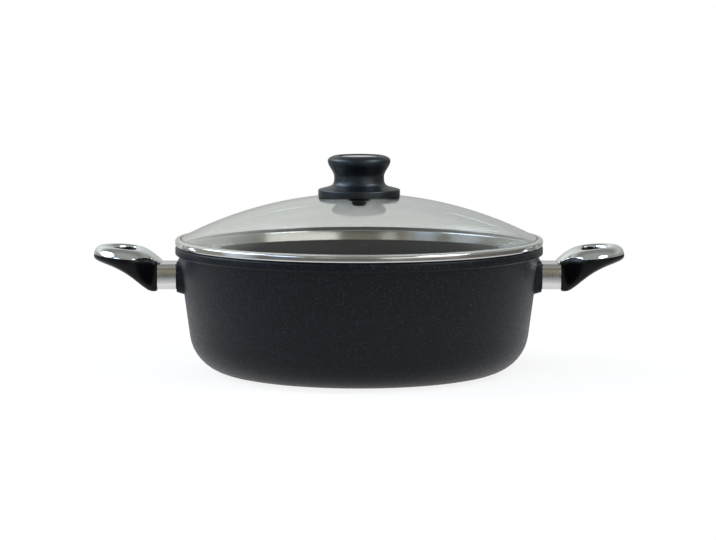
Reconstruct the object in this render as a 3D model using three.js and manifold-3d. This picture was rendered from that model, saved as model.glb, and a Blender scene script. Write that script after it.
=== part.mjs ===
// Round cast-aluminium roasting pot with a glass lid, a lid knob and two side handles.
// Millimetres, +Z up. The origin is the middle of the pot's underside, and the handles lie along X.

import * as THREE from 'three';
import { mergeVertices } from 'three/addons/utils/BufferGeometryUtils.js';
import Module from 'manifold-3d';

const wasm = await Module();
wasm.setup();

// Clearance between neighbouring pieces
const GAP = 0.3;

// Pot casting
const RIM_BORE = 280; // inside diameter at the rim
const POT_HEIGHT = 100;
const WALL = 4.1; // level thickness of the side wall
const BASE = 8;
const DRAFT = 7.5; // lean of the wall from upright, in degrees
const OUTER_CORNER = 33;
const INNER_CORNER = 27;
const RIM_BAND = 6.4; // height of the thick rim
const RIM_OVERHANG = 2.7; // how far the rim stands out from the wall
const RIM_ROUND = 1.8; // rounding of the rim's top outer edge
const RIM_FILLET = 1.2; // hollow under the rim
const RIM_EDGE = 0.8; // bevel of the rim's lower edge
const MOUTH_BEVEL = 1; // bevel of the rim's inner edge

// Cast lugs that carry the handles
const HANDLE_DROP = 24; // from the rim's top down to the handle screw
const LUG_SETBACK = 1.7; // lug face behind the rim's outer edge
const LUG_WIDTH = 41;
const LUG_HEIGHT = 24.3;
const LUG_ROUND = 5;
const LUG_EDGE = 0.6;
const LUG_DRAFT = 15; // spread of the lug towards the wall, in degrees
const LUG_SPIGOT = 7; // length of the spigot inside the ferrule
const THREAD_DEPTH = 5; // blind thread below the lug's face

// Steel ferrule between lug and grip
const FERRULE_LENGTH = 15.2;
const FERRULE_WIDTH = 38;
const FERRULE_HEIGHT = 20.3;
const FERRULE_WALL = 1.2;
const FERRULE_ROUND = 5;

// Moulded grip, seen from above
const GRIP_LENGTH = 50.8; // from the ferrule to the tip
const GRIP_WIDTH = 66;
const GRIP_SHOULDER = 22; // from the ferrule to the widest place
const NECK_WIDTH = 39;
const TIP_FULLNESS = 17; // how blunt the tip is
const SHOULDER_FULLNESS = 15; // how far the wide part carries on to the tip
const HOLE_LENGTH = 19;
const HOLE_WIDTH = 34;
const HOLE_CORNER = 5;
const HOLE_WEB = 12; // from the opening to the tip

// Moulded grip, seen from the side, as heights above the handle screw
const CREST_SWELL = 31; // pull of the crest's curve near the neck
const CREST_REACH = 27.6; // pull of the crest's curve near the tip
const CREST_RUN = 22.5; // from the ends of the crest's curve to its pulls
const CREST_CROWN = 8; // fall of the crest from the middle to the sides
const TIP_CREST = 22.7;
const TIP_EDGE = 16; // widest height at the tip
const TIP_BELLY = 12.2;
const NECK_EDGE = 1.8; // widest height where the neck leaves the ferrule
const NECK_BELLY = -11.5;
const BELLY_SAG = 2.5; // pull of the belly's curve below the neck
const BELLY_LIFT = 20.2; // pull of the belly's curve above the neck
const BELLY_RUN = 13.5; // from the ferrule to both pulls

// Bright trim cap on the grip
const TRIM_WALL = 1.5;
const NECK_SEAM = 12; // height of the trim's edge above the handle screw, at the neck
const SEAM_HUMP = 17.6; // pull of the edge's curve between neck and cusp
const CUSP_RUN = 16.5; // from the ferrule to the cusp in the edge
const CUSP_SEAM = 14.8; // height of the edge at the cusp
const SEAM_TILT = 3.8; // rise of the edge from the cusp to the tip, in degrees
const LIP_HEIGHT = 20.4; // top of the grip's sleeve inside the opening
const LIP_WIDTH = 1.5; // thickness of that sleeve
const TONGUE_LAP = 3; // reach of the trim over the ferrule
const TONGUE_WIDTH = 27; // width of the trim's end on the ferrule
const TONGUE_EDGE = 1.8; // thickness of that end

// Handle screw and washer
const SCREW_SHANK = 5;
const SCREW_HEAD = 8.5;
const SCREW_HEAD_HEIGHT = 3.4;
const SCREW_SEAT = 7.5; // from the ferrule's end to the washer's seat
const WASHER_DIAMETER = 9.4;
const WASHER_THICKNESS = 1.2;

// Glass lid and its steel band
const GLASS = 3.5;
const DOME_RADIUS = 306; // outside of the glass
const GLASS_BORE = 9;
const STEEL = 0.7; // sheet of the band
const BAND_LIP = 5.5; // level width of the lip over the glass
const BAND_ROUND = 1.4;
const LIP_FALL = 0.3; // slope of the lip
const SKIRT_DEPTH = 7.9;
const SKIRT_CLEARANCE = 1.1; // to the pot's wall, which the skirt follows
const SEAL_WIDTH = 2.2;

// Lid knob, with heights above the top of the glass
const KNOB_HEIGHT = 30.9;
const KNOB_FLANGE = 65;
const KNOB_FLANGE_TOP = 4;
const KNOB_FLANGE_ROUND = 1.1;
const KNOB_CONE = 49; // diameter where the flange meets the waist
const KNOB_CONE_TOP = 6.1;
const KNOB_WAIST = 39.6;
const KNOB_WAIST_HEIGHT = 14.1;
const KNOB_HEAD = 49.8;
const KNOB_HEAD_HEIGHT = 26.6;
const KNOB_SHOULDER = 29.6; // pull of the curve from the head's widest place to its rim
const KNOB_LIP = 2.6; // width of the rim round the bright disc
const LIP_DISH = 0.35; // fall of that rim to the disc
const KNOB_FOOT = 4; // width of the ring that stands on the glass
const KNOB_HOLLOW = 1.6; // hollow under the flange, above the glass
const KNOB_BOSS = 24;
const DISC_DIAMETER = 32;
const DISC_THICKNESS = 1.4;
const DISC_CROWN = 0.5;

// Knob fixing
const INSERT_DIAMETER = 10;
const INSERT_LENGTH = 14;
const PAD_THICKNESS = 1; // seals above and below the glass
const PAD_DIAMETER = 18;
const KNOB_WASHER = 17;
const KNOB_WASHER_THICKNESS = 1.2;
const KNOB_SCREW_HEAD = 11.6;
const KNOB_SCREW_HEAD_HEIGHT = 3.6;
const KNOB_SCREW_REACH = 11; // thread inside the insert

// Facets
const TURN_SEGMENTS = 48;
const KNOB_SEGMENTS = 30;
const SMALL_SEGMENTS = 12;
const CURVE_STEPS = 3;
const CORNER_STEPS = 4;
const GRIP_STATIONS = 28;
const GRIP_SECTION = 12;
const SECTION_FULLNESS = 2.3; // 2 is an ellipse, more is squarer
const CUT = 60; // length that runs well past what it cuts
const WELD = 1e-4;

const CORNERS = [[1, 1], [-1, 1], [-1, -1], [1, -1]]; // of a rectangle, anticlockwise
const AXIS_X = new THREE.Vector3(1, 0, 0);
const AXIS_Y = new THREE.Vector3(0, 1, 0);
const AXIS_Z = new THREE.Vector3(0, 0, 1);

const draft = THREE.MathUtils.degToRad(DRAFT);
const rimRadius = RIM_BORE / 2 + WALL - RIM_BAND * Math.tan(draft) + RIM_OVERHANG;
const lugFace = rimRadius - LUG_SETBACK;
const handleHeight = POT_HEIGHT - HANDLE_DROP;
const ferruleTop = FERRULE_HEIGHT / 2 + GAP;
const gripStart = FERRULE_LENGTH + 2 * GAP;
const gripTip = gripStart + GRIP_LENGTH;

const FINISHES = {
  coating: { color: 0x2a2e33, roughness: 0.5, metalness: 0.1 },
  steel: { color: 0xc9c8c3, roughness: 0.22, metalness: 1 },
  blackSteel: { color: 0x24272b, roughness: 0.4, metalness: 0.8 },
  chrome: { color: 0xd9dcdd, roughness: 0.06, metalness: 1 },
  bakelite: { color: 0x15171a, roughness: 0.35, metalness: 0 },
  glass: { color: 0xc4ccc8, roughness: 0.03, metalness: 0, transparent: true, opacity: 0.35 },
  silicone: { color: 0x33363a, roughness: 0.7, metalness: 0 },
  brass: { color: 0xb5914c, roughness: 0.35, metalness: 1 },
};

// Geometry helpers

function solidOf(geometry) {
  const bare = geometry.clone();
  bare.deleteAttribute('normal');
  bare.deleteAttribute('uv');
  const welded = mergeVertices(bare, WELD);
  return new wasm.Manifold(new wasm.Mesh({
    numProp: 3,
    vertProperties: new Float32Array(welded.attributes.position.array),
    triVerts: new Uint32Array(welded.index.array),
  }));
}

function geometryOf(solid) {
  const mesh = solid.getMesh();
  const geometry = new THREE.BufferGeometry();
  geometry.setAttribute('position', new THREE.BufferAttribute(mesh.vertProperties, 3));
  geometry.setIndex(new THREE.BufferAttribute(mesh.triVerts, 1));
  geometry.computeVertexNormals();
  return geometry;
}

function piece(name, geometry, finish) {
  const mesh = new THREE.Mesh(geometry, new THREE.MeshStandardMaterial(FINISHES[finish]));
  mesh.name = name;
  return mesh;
}

// A path of (radius, height) points turned about Z
function turned(path, segments) {
  const profile = path.getPoints(CURVE_STEPS);
  return new THREE.LatheGeometry(profile, segments).rotateX(Math.PI / 2);
}

// The same, turned about X
function turnedAlongX(path, segments) {
  const profile = path.getPoints(CURVE_STEPS);
  return new THREE.LatheGeometry(profile, segments).rotateZ(-Math.PI / 2);
}

// A plain ring or disc profile: inner and outer radius, lower and upper height
function ringPath(inner, outer, low, high) {
  const path = new THREE.Path();
  path.moveTo(inner, low);
  path.lineTo(outer, low);
  path.lineTo(outer, high);
  path.lineTo(inner, high);
  path.lineTo(inner, low);
  return path;
}

function barPath(radius, low, high) {
  const path = new THREE.Path();
  path.moveTo(0, low);
  path.lineTo(radius, low);
  path.lineTo(radius, high);
  path.lineTo(0, high);
  return path;
}

// Points of a rounded rectangle, anticlockwise
function roundedRectangle(width, height, round) {
  const r = Math.min(round, width / 2, height / 2);
  const points = [];
  CORNERS.forEach(([side, level], corner) => {
    const x = side * (width / 2 - r);
    const y = level * (height / 2 - r);
    for (let step = 0; step <= CORNER_STEPS; step += 1) {
      const angle = ((corner + step / CORNER_STEPS) * Math.PI) / 2;
      points.push(new THREE.Vector2(x + r * Math.cos(angle), y + r * Math.sin(angle)));
    }
  });
  return points;
}

// A section in Y and Z drawn out along X
function drawnAlongX(shape, from, to) {
  const options = { depth: to - from, bevelEnabled: false };
  const turnUpright = new THREE.Matrix4().makeBasis(AXIS_Y, AXIS_Z, AXIS_X);
  return new THREE.ExtrudeGeometry(shape, options).applyMatrix4(turnUpright).translate(from, 0, 0);
}

// A side view in X and Z drawn out to both sides of Y
function drawnAcross(shape, half) {
  const options = { depth: 2 * half, bevelEnabled: false, curveSegments: 2 * CURVE_STEPS };
  return new THREE.ExtrudeGeometry(shape, options).rotateX(Math.PI / 2).translate(0, half, 0);
}

function drawnUp(shape, from, to) {
  const options = { depth: to - from, bevelEnabled: false, curveSegments: 2 * CURVE_STEPS };
  return new THREE.ExtrudeGeometry(shape, options).translate(0, 0, from);
}

// A skin over rings of equal point counts, either closed into a loop or capped at both ends
function skin(rings, loop) {
  const count = rings[0].length;
  const positions = rings.flat().flatMap((point) => [point.x, point.y, point.z]);
  const triangles = [];
  const strips = loop ? rings.length : rings.length - 1;
  for (let i = 0; i < strips; i += 1) {
    const here = i * count;
    const next = ((i + 1) % rings.length) * count;
    for (let j = 0; j < count; j += 1) {
      const k = (j + 1) % count;
      triangles.push(here + j, next + j, next + k, here + j, next + k, here + k);
    }
  }
  if (!loop) {
    const last = (rings.length - 1) * count;
    for (let j = 1; j < count - 1; j += 1) {
      triangles.push(0, j, j + 1, last, last + j + 1, last + j);
    }
  }
  const geometry = new THREE.BufferGeometry();
  geometry.setAttribute('position', new THREE.Float32BufferAttribute(positions, 3));
  geometry.setIndex(triangles);
  geometry.computeVertexNormals();
  return geometry;
}

// The place of a handle on the pot: X along its screw, outward from the lug's face
function handlePlace(turn) {
  const place = new THREE.Matrix4().makeRotationZ(turn);
  return place.multiply(new THREE.Matrix4().makeTranslation(lugFace, 0, handleHeight));
}

// Pot casting

function wallOuter(height) {
  return RIM_BORE / 2 + WALL - (POT_HEIGHT - height) * Math.tan(draft);
}

function wallInner(height) {
  return RIM_BORE / 2 - (POT_HEIGHT - height) * Math.tan(draft);
}

function vesselOutside() {
  const centre = wallOuter(OUTER_CORNER) - OUTER_CORNER / Math.cos(draft);
  const bandFoot = POT_HEIGHT - RIM_BAND;
  const fillet = Math.min(RIM_FILLET, RIM_OVERHANG / 2);
  const edge = Math.min(RIM_EDGE, RIM_OVERHANG / 3);
  const wallTop = wallOuter(bandFoot);
  const path = new THREE.Path();
  path.moveTo(0, 0);
  path.lineTo(centre, 0);
  path.absarc(centre, OUTER_CORNER, OUTER_CORNER, -Math.PI / 2, -draft, false);
  path.lineTo(wallOuter(bandFoot - fillet), bandFoot - fillet);
  path.lineTo(wallTop + fillet, bandFoot);
  path.lineTo(rimRadius - edge, bandFoot);
  path.lineTo(rimRadius, bandFoot + edge);
  path.lineTo(rimRadius, POT_HEIGHT - RIM_ROUND);
  path.quadraticCurveTo(rimRadius, POT_HEIGHT, rimRadius - RIM_ROUND, POT_HEIGHT);
  path.lineTo(0, POT_HEIGHT);
  return path;
}

function vesselInside() {
  const arcHeight = BASE + INNER_CORNER;
  const centre = wallInner(arcHeight) - INNER_CORNER / Math.cos(draft);
  const mouth = wallInner(POT_HEIGHT);
  const path = new THREE.Path();
  path.moveTo(0, BASE);
  path.lineTo(centre, BASE);
  path.absarc(centre, arcHeight, INNER_CORNER, -Math.PI / 2, -draft, false);
  path.lineTo(wallInner(POT_HEIGHT - MOUTH_BEVEL), POT_HEIGHT - MOUTH_BEVEL);
  path.lineTo(mouth + MOUTH_BEVEL, POT_HEIGHT + MOUTH_BEVEL);
  path.lineTo(mouth + MOUTH_BEVEL, POT_HEIGHT + CUT);
  path.lineTo(0, POT_HEIGHT + CUT);
  return path;
}

function spigotSection() {
  const slack = 2 * (FERRULE_WALL + GAP);
  const round = FERRULE_ROUND - FERRULE_WALL - GAP;
  return new THREE.Shape(roundedRectangle(FERRULE_WIDTH - slack, FERRULE_HEIGHT - slack, round));
}

// A boss that spreads towards the wall, with the spigot that the ferrule slides over
function lug() {
  const root = rimRadius - wallInner(0);
  const spread = Math.tan(THREE.MathUtils.degToRad(LUG_DRAFT));
  const stations = [
    [-root, 2 * root * spread],
    [-LUG_EDGE, 0],
    [0, -2 * LUG_EDGE],
  ];
  const rings = stations.map(([x, growth]) => {
    const section = roundedRectangle(LUG_WIDTH + growth, LUG_HEIGHT + growth, LUG_ROUND + growth / 2);
    return section.reverse().map((point) => new THREE.Vector3(x, point.x, point.y));
  });
  const boss = solidOf(skin(rings, false));
  return boss.add(solidOf(drawnAlongX(spigotSection(), -LUG_EDGE, LUG_SPIGOT)));
}

function screwBore(from, to) {
  return solidOf(turnedAlongX(barPath(SCREW_SHANK / 2 + GAP, from, to), SMALL_SEGMENTS));
}

function potBody(turns) {
  let pot = solidOf(turned(vesselOutside(), TURN_SEGMENTS));
  for (const turn of turns) {
    pot = pot.add(lug().transform(handlePlace(turn).elements));
  }
  pot = pot.subtract(solidOf(turned(vesselInside(), TURN_SEGMENTS)));
  for (const turn of turns) {
    pot = pot.subtract(screwBore(-THREAD_DEPTH, CUT).transform(handlePlace(turn).elements));
  }
  return geometryOf(pot);
}

// Handles, each drawn with its screw along X and the lug's face at zero

function ferrule() {
  const inner = 2 * FERRULE_WALL;
  const round = FERRULE_ROUND - FERRULE_WALL;
  const shape = new THREE.Shape(roundedRectangle(FERRULE_WIDTH, FERRULE_HEIGHT, FERRULE_ROUND));
  const bore = roundedRectangle(FERRULE_WIDTH - inner, FERRULE_HEIGHT - inner, round);
  shape.holes.push(new THREE.Path(bore));
  return drawnAlongX(shape, GAP, GAP + FERRULE_LENGTH);
}

// Outline of the grip from above, from the tip round by the neck, which runs on past the ferrule's end
function gripOutline() {
  const half = GRIP_WIDTH / 2;
  const neck = NECK_WIDTH / 2;
  const widest = gripStart + GRIP_SHOULDER;
  const flare = GRIP_SHOULDER / 2;
  const neckEnd = gripStart - flare;
  const shape = new THREE.Shape();
  shape.moveTo(gripTip, 0);
  shape.bezierCurveTo(gripTip, TIP_FULLNESS, widest + SHOULDER_FULLNESS, half, widest, half);
  shape.bezierCurveTo(widest - flare, half, gripStart + flare / 2, neck, gripStart - GAP, neck);
  shape.lineTo(neckEnd, neck);
  shape.lineTo(neckEnd, -neck);
  shape.lineTo(gripStart - GAP, -neck);
  shape.bezierCurveTo(gripStart + flare / 2, -neck, widest - flare, -half, widest, -half);
  shape.bezierCurveTo(widest + SHOULDER_FULLNESS, -half, gripTip, -TIP_FULLNESS, gripTip, 0);
  return shape;
}

// The opening: straight towards the pot, rounded to a blunt point towards the tip
function holeOutline(margin) {
  const near = gripTip - HOLE_WEB - HOLE_LENGTH - margin;
  const far = gripTip - HOLE_WEB + margin;
  const half = HOLE_WIDTH / 2 + margin;
  const round = HOLE_CORNER + margin / 2;
  const belly = near + (far - near) / 2;
  const shape = new THREE.Shape();
  shape.moveTo(far, 0);
  shape.bezierCurveTo(far, half / 2, belly, half, near + round, half);
  shape.quadraticCurveTo(near, half, near, half - round);
  shape.lineTo(near, round - half);
  shape.quadraticCurveTo(near, -half, near + round, -half);
  shape.bezierCurveTo(belly, -half, far, -half / 2, far, 0);
  return shape;
}

// Side view of the grip's top, from the end of the trim on the ferrule to the tip
function crestCurve() {
  const start = gripStart - TONGUE_LAP;
  return new THREE.CubicBezierCurve(
    new THREE.Vector2(start, ferruleTop + TONGUE_EDGE),
    new THREE.Vector2(start + CREST_RUN, CREST_SWELL),
    new THREE.Vector2(gripTip - CREST_RUN, CREST_REACH),
    new THREE.Vector2(gripTip, TIP_CREST),
  );
}

function bellyCurve() {
  return new THREE.CubicBezierCurve(
    new THREE.Vector2(gripStart, NECK_BELLY),
    new THREE.Vector2(gripStart + BELLY_RUN, NECK_BELLY - BELLY_SAG),
    new THREE.Vector2(gripStart + BELLY_RUN, NECK_BELLY + BELLY_LIFT),
    new THREE.Vector2(gripTip, TIP_BELLY),
  );
}

// Height at which the grip is widest
function equatorCurve() {
  return new THREE.QuadraticBezierCurve(
    new THREE.Vector2(gripStart - GRIP_SHOULDER / 4, NECK_EDGE),
    new THREE.Vector2(gripStart + GRIP_SHOULDER / 2, TIP_EDGE),
    new THREE.Vector2(gripTip, TIP_EDGE),
  );
}

function heightOn(curve, x) {
  let low = 0;
  let high = 1;
  while (high - low > WELD) {
    const middle = (low + high) / 2;
    if (curve.getPoint(middle).x < x) {
      low = middle;
    } else {
      high = middle;
    }
  }
  return curve.getPoint((low + high) / 2).y;
}

function squared(value) {
  return Math.sign(value) * Math.abs(value) ** (2 / SECTION_FULLNESS);
}

// The whole grip as a ring round its opening, with its skin moved inward by inset
function gripForm(inset) {
  const crest = crestCurve();
  const belly = bellyCurve();
  const equator = equatorCurve();
  const outer = gripOutline().getSpacedPoints(GRIP_STATIONS);
  const inner = holeOutline(0).getSpacedPoints(GRIP_STATIONS);
  const rings = [];
  for (let i = 0; i < GRIP_STATIONS; i += 1) {
    const across = outer[i].clone().sub(inner[i]);
    const half = across.length() / 2 - inset;
    const middle = inner[i].clone().addScaledVector(across, 0.5);
    across.normalize();
    const ring = [];
    for (let j = 0; j < GRIP_SECTION; j += 1) {
      const angle = (2 * Math.PI * j) / GRIP_SECTION;
      const place = middle.clone().addScaledVector(across, half * squared(Math.cos(angle)));
      const rise = squared(Math.sin(angle));
      const wide = heightOn(equator, place.x);
      const crown = CREST_CROWN * (place.y / (GRIP_WIDTH / 2)) ** 2;
      const top = heightOn(crest, place.x) - crown - inset - wide;
      const bottom = wide - heightOn(belly, place.x) - inset;
      const height = wide + rise * (rise > 0 ? top : bottom);
      ring.push(new THREE.Vector3(place.x, place.y, height));
    }
    rings.push(ring);
  }
  return solidOf(skin(rings, true));
}

// The space that belongs to the trim: above its edge as seen from the side, and on to the ferrule,
// but outside the sleeve that the grip forms in the opening
function trimZone(clear) {
  const end = gripStart - clear;
  const cusp = gripStart + CUSP_RUN;
  const rise = (gripTip + CUT - cusp) * Math.tan(THREE.MathUtils.degToRad(SEAM_TILT));
  const shape = new THREE.Shape();
  shape.moveTo(0, 0);
  shape.lineTo(end, 0);
  shape.lineTo(end, NECK_SEAM + clear);
  shape.lineTo(gripStart, NECK_SEAM + clear);
  shape.quadraticCurveTo(gripStart + CUSP_RUN / 2, SEAM_HUMP + clear, cusp, CUSP_SEAM + clear);
  shape.lineTo(gripTip + CUT, CUSP_SEAM + rise + clear);
  shape.lineTo(gripTip + CUT, CUT);
  shape.lineTo(0, CUT);
  const sleeve = drawnUp(holeOutline(LIP_WIDTH + clear), -CUT, LIP_HEIGHT + clear);
  return solidOf(drawnAcross(shape, CUT)).subtract(solidOf(sleeve));
}

// Everything further out than x and higher than z
function beyond(x, z) {
  return solidOf(new THREE.BoxGeometry(2 * CUT, 2 * CUT, 2 * CUT).translate(x + CUT, 0, z + CUT));
}

function grip() {
  const core = gripForm(TRIM_WALL + GAP);
  const body = gripForm(0).subtract(trimZone(0)).add(core).intersect(beyond(gripStart, -CUT));
  const spigotEnd = GAP + LUG_SPIGOT;
  const spigot = solidOf(drawnAlongX(spigotSection(), spigotEnd, gripStart + TRIM_WALL));
  const seat = gripStart + SCREW_SEAT;
  const pocketRadius = Math.max(WASHER_DIAMETER, SCREW_HEAD) / 2 + GAP;
  const pocket = turnedAlongX(barPath(pocketRadius, seat, gripTip - HOLE_WEB), SMALL_SEGMENTS);
  return geometryOf(body.add(spigot).subtract(screwBore(0, seat + GAP)).subtract(solidOf(pocket)));
}

// A shell over the grip, with a solid rounded end that lies on the ferrule
function trim() {
  const form = gripForm(0).intersect(trimZone(GAP));
  const hollow = gripForm(TRIM_WALL).intersect(beyond(gripStart - GAP, -CUT));
  const tongue = new THREE.Shape(roundedRectangle(2 * TONGUE_LAP, TONGUE_WIDTH, TONGUE_LAP));
  const onFerrule = solidOf(drawnUp(tongue, ferruleTop, CUT).translate(gripStart, 0, 0));
  const onGrip = beyond(gripStart, ferruleTop);
  return geometryOf(form.subtract(hollow).intersect(onGrip.add(onFerrule)));
}

function handleScrew() {
  const under = gripStart + SCREW_SEAT + WASHER_THICKNESS + 2 * GAP;
  const shank = SCREW_SHANK / 2;
  const head = SCREW_HEAD / 2;
  const path = new THREE.Path();
  path.moveTo(0, GAP - THREAD_DEPTH);
  path.lineTo(shank, GAP - THREAD_DEPTH);
  path.lineTo(shank, under);
  path.lineTo(head, under);
  path.lineTo(head, under + SCREW_HEAD_HEIGHT / 2);
  path.quadraticCurveTo(head, under + SCREW_HEAD_HEIGHT, 0, under + SCREW_HEAD_HEIGHT);
  return turnedAlongX(path, SMALL_SEGMENTS);
}

function handleWasher() {
  const seat = gripStart + SCREW_SEAT + GAP;
  const path = ringPath(SCREW_SHANK / 2 + GAP, WASHER_DIAMETER / 2, seat, seat + WASHER_THICKNESS);
  return turnedAlongX(path, SMALL_SEGMENTS);
}

function handle(side, turn) {
  const group = new THREE.Group();
  group.add(piece(`${side}_handle_ferrule`, ferrule(), 'steel'));
  group.add(piece(`${side}_handle_grip`, grip(), 'bakelite'));
  group.add(piece(`${side}_handle_trim`, trim(), 'chrome'));
  group.add(piece(`${side}_handle_screw`, handleScrew(), 'steel'));
  group.add(piece(`${side}_handle_washer`, handleWasher(), 'steel'));
  group.applyMatrix4(handlePlace(turn));
  return group;
}

// Lid, with heights above the band's underside

const glassRadius = rimRadius - STEEL - SEAL_WIDTH - 2 * GAP;
const domeInner = DOME_RADIUS - GLASS;
const domeCentre = STEEL + GAP - Math.sqrt(domeInner ** 2 - glassRadius ** 2);
const domeTop = domeCentre + DOME_RADIUS;

function glassOuter(radius) {
  return domeCentre + Math.sqrt(DOME_RADIUS ** 2 - radius ** 2);
}

function lidGlass() {
  const bore = GLASS_BORE / 2;
  const outerEdge = Math.acos(glassRadius / DOME_RADIUS);
  const outerBore = Math.acos(bore / DOME_RADIUS);
  const innerEdge = Math.acos(glassRadius / domeInner);
  const innerBore = Math.acos(bore / domeInner);
  const path = new THREE.Path();
  path.absarc(0, domeCentre, DOME_RADIUS, outerEdge, outerBore, false);
  path.absarc(0, domeCentre, domeInner, innerBore, innerEdge, true);
  path.closePath();
  return turned(path, TURN_SEGMENTS);
}

// One strip of sheet: skirt inside the pot, shelf on the rim, band round the edge, lip over the glass
function lidBand() {
  const skirtFoot = wallInner(POT_HEIGHT - SKIRT_DEPTH) - SKIRT_CLEARANCE;
  const skirtTop = wallInner(POT_HEIGHT) - SKIRT_CLEARANCE;
  const lipRadius = rimRadius - BAND_LIP;
  const lipEnd = glassOuter(lipRadius) + GAP;
  const top = lipEnd + STEEL - LIP_FALL;
  const inner = rimRadius - STEEL;
  const bend = BAND_ROUND - STEEL;
  const path = new THREE.Path();
  path.moveTo(skirtFoot - STEEL, -SKIRT_DEPTH);
  path.lineTo(skirtFoot, -SKIRT_DEPTH);
  path.lineTo(skirtTop, 0);
  path.lineTo(rimRadius - BAND_ROUND, 0);
  path.quadraticCurveTo(rimRadius, 0, rimRadius, BAND_ROUND);
  path.lineTo(rimRadius, top - BAND_ROUND);
  path.quadraticCurveTo(rimRadius, top, rimRadius - BAND_ROUND, top);
  path.lineTo(lipRadius, lipEnd + STEEL);
  path.lineTo(lipRadius, lipEnd);
  path.lineTo(inner - bend, top - STEEL);
  path.lineTo(inner, top - STEEL - bend);
  path.lineTo(inner, STEEL + bend);
  path.lineTo(inner - bend, STEEL);
  path.lineTo(skirtTop - STEEL, STEEL);
  path.closePath();
  return turned(path, TURN_SEGMENTS);
}

function lidSeal() {
  const inner = glassRadius + GAP;
  const outer = inner + SEAL_WIDTH;
  const low = STEEL + GAP;
  const bevel = BAND_ROUND - STEEL;
  const high = glassOuter(rimRadius - BAND_LIP) - LIP_FALL;
  const path = new THREE.Path();
  path.moveTo(inner, low);
  path.lineTo(outer - bevel, low);
  path.lineTo(outer, low + bevel);
  path.lineTo(outer, high - bevel);
  path.lineTo(outer - bevel, high);
  path.lineTo(inner, high);
  path.closePath();
  return turned(path, TURN_SEGMENTS);
}

// Knob, with heights above the top of the glass

const padBottom = GAP;
const bossBottom = padBottom + PAD_THICKNESS + GAP;
const discSeat = KNOB_HEIGHT - LIP_DISH - DISC_THICKNESS - GAP;

function knobBody() {
  const flange = KNOB_FLANGE / 2;
  const foot = flange - KNOB_FOOT;
  const head = KNOB_HEAD / 2;
  const waist = KNOB_WAIST / 2;
  const cone = KNOB_CONE / 2;
  const insert = INSERT_DIAMETER / 2 + GAP;
  const pocket = DISC_DIAMETER / 2 + GAP;
  const insertTop = bossBottom + INSERT_LENGTH + GAP;
  const footHeight = glassOuter(foot) - domeTop + GAP;
  const flangeHeight = glassOuter(flange) - domeTop + GAP;
  const hollow = bossBottom + KNOB_HOLLOW;
  const neck = (KNOB_WAIST_HEIGHT - KNOB_CONE_TOP) / 2;
  const flare = (KNOB_HEAD_HEIGHT - KNOB_WAIST_HEIGHT) / 3;
  const path = new THREE.Path();
  path.moveTo(0, insertTop);
  path.lineTo(insert, insertTop);
  path.lineTo(insert, bossBottom);
  path.lineTo(KNOB_BOSS / 2, bossBottom);
  path.lineTo(KNOB_BOSS / 2, hollow);
  path.lineTo(foot, hollow);
  path.lineTo(foot, footHeight);
  path.lineTo(flange, flangeHeight);
  path.lineTo(flange, KNOB_FLANGE_TOP - KNOB_FLANGE_ROUND);
  path.quadraticCurveTo(flange, KNOB_FLANGE_TOP, flange - KNOB_FLANGE_ROUND, KNOB_FLANGE_TOP);
  path.lineTo(cone, KNOB_CONE_TOP);
  path.bezierCurveTo(
    waist, KNOB_CONE_TOP + neck / 3,
    waist, KNOB_WAIST_HEIGHT - neck,
    waist, KNOB_WAIST_HEIGHT,
  );
  path.bezierCurveTo(
    waist, KNOB_WAIST_HEIGHT + flare,
    head, KNOB_HEAD_HEIGHT - flare,
    head, KNOB_HEAD_HEIGHT,
  );
  path.quadraticCurveTo(head, KNOB_SHOULDER, pocket + KNOB_LIP, KNOB_HEIGHT);
  path.lineTo(pocket, KNOB_HEIGHT - LIP_DISH);
  path.lineTo(pocket, discSeat);
  path.lineTo(0, discSeat);
  return turned(path, KNOB_SEGMENTS);
}

function knobDisc() {
  const radius = DISC_DIAMETER / 2;
  const low = discSeat + GAP;
  const edge = low + DISC_THICKNESS - DISC_CROWN;
  const path = new THREE.Path();
  path.moveTo(0, low);
  path.lineTo(radius, low);
  path.lineTo(radius, edge);
  path.quadraticCurveTo(radius / 2, edge + DISC_CROWN, 0, edge + DISC_CROWN);
  return turned(path, KNOB_SEGMENTS);
}

function knobScrew() {
  const shank = SCREW_SHANK / 2;
  const head = KNOB_SCREW_HEAD / 2;
  const under = -GLASS - PAD_THICKNESS - KNOB_WASHER_THICKNESS - 3 * GAP;
  const low = under - KNOB_SCREW_HEAD_HEIGHT;
  const tip = bossBottom + KNOB_SCREW_REACH;
  const path = new THREE.Path();
  path.moveTo(0, low);
  path.quadraticCurveTo(head, low, head, under - KNOB_SCREW_HEAD_HEIGHT / 3);
  path.lineTo(head, under);
  path.lineTo(shank, under);
  path.lineTo(shank, tip);
  path.lineTo(0, tip);
  return turned(path, SMALL_SEGMENTS);
}

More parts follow.
